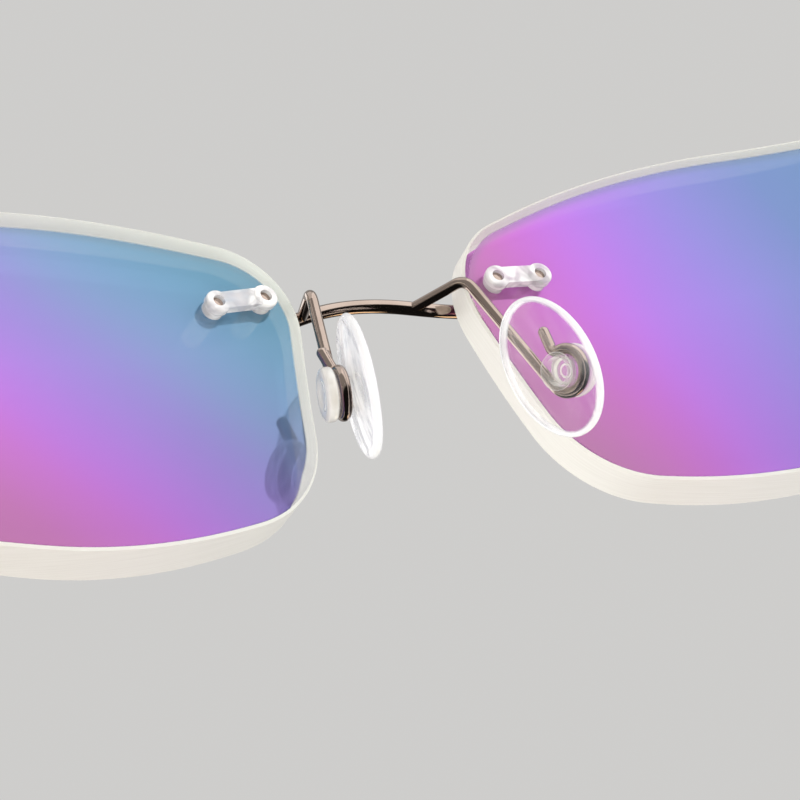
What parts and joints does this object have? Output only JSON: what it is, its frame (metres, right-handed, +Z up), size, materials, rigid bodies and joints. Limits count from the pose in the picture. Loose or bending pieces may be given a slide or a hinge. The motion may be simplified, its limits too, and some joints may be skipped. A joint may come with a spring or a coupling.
{
  "type": "rimless eyeglasses",
  "caption": "Rimless eyeglasses: drilled plastic lenses joined by a bent-wire bridge, with clear swivelling nose pads on wire arms and folding temples with soft tips.",
  "frame": {"origin": "on the surface the glasses stand on, under the middle of their box with the temples open", "axes": "+X to the wearer's left, +Y backwards to the wearer and the temple tips, +Z up"},
  "size_m": [0.132, 0.1444, 0.032],
  "materials": {
    "coated_lens": "polished resin with a violet to green anti-reflection coating, satin ground edge",
    "polished_wire": "polished titanium wire, faint warm tint",
    "temple_metal": "polished titanium wire",
    "hinge_metal": "polished nickel silver",
    "screw_steel": "turned steel",
    "clear_nylon": "clear moulded nylon",
    "clear_core": "clear moulded polycarbonate",
    "clear_silicone": "clear soft silicone",
    "tip_silicone": "translucent soft silicone"
  },
  "bodies": {
    "front": {"left_lens": "coated_lens", "right_lens": "coated_lens", "bridge": "polished_wire", "left_bridge_plug": "clear_nylon", "right_bridge_plug": "clear_nylon", "left_temple_plug": "clear_nylon", "right_temple_plug": "clear_nylon", "left_pad_arm": "polished_wire", "right_pad_arm": "polished_wire", "left_end_piece": "hinge_metal", "right_end_piece": "hinge_metal", "left_hinge_screw": "screw_steel", "right_hinge_screw": "screw_steel"},
    "left_temple": {"left_hinge_leaf": "hinge_metal", "left_temple_wire": "temple_metal", "left_temple_tip": "tip_silicone"},
    "left_pad": {"left_nose_pad": "clear_silicone", "left_pad_core": "clear_core"},
    "right_temple": {"right_hinge_leaf": "hinge_metal", "right_temple_wire": "temple_metal", "right_temple_tip": "tip_silicone"},
    "right_pad": {"right_nose_pad": "clear_silicone", "right_pad_core": "clear_core"}
  },
  "joints": [
    {"name": "left_temple_fold", "type": "hinge", "parent": "front", "child": "left_temple", "pos_m": [0.06408, -0.05415, 0.02202], "axis": [0, 0, 1], "range_deg": [0, 90]},
    {"name": "left_pad_swivel", "type": "hinge", "parent": "front", "child": "left_pad", "pos_m": [0.01084, -0.06167, 0.00977], "axis": [0.95, -0.2778, 0.1426], "range_deg": [-8, 8]},
    {"name": "right_temple_fold", "type": "hinge", "parent": "front", "child": "right_temple", "pos_m": [-0.06408, -0.05415, 0.02202], "axis": [0, 0, -1], "range_deg": [0, 83]},
    {"name": "right_pad_swivel", "type": "hinge", "parent": "front", "child": "right_pad", "pos_m": [-0.01084, -0.06167, 0.00977], "axis": [-0.95, -0.2778, 0.1426], "range_deg": [-8, 8]}
  ]
}
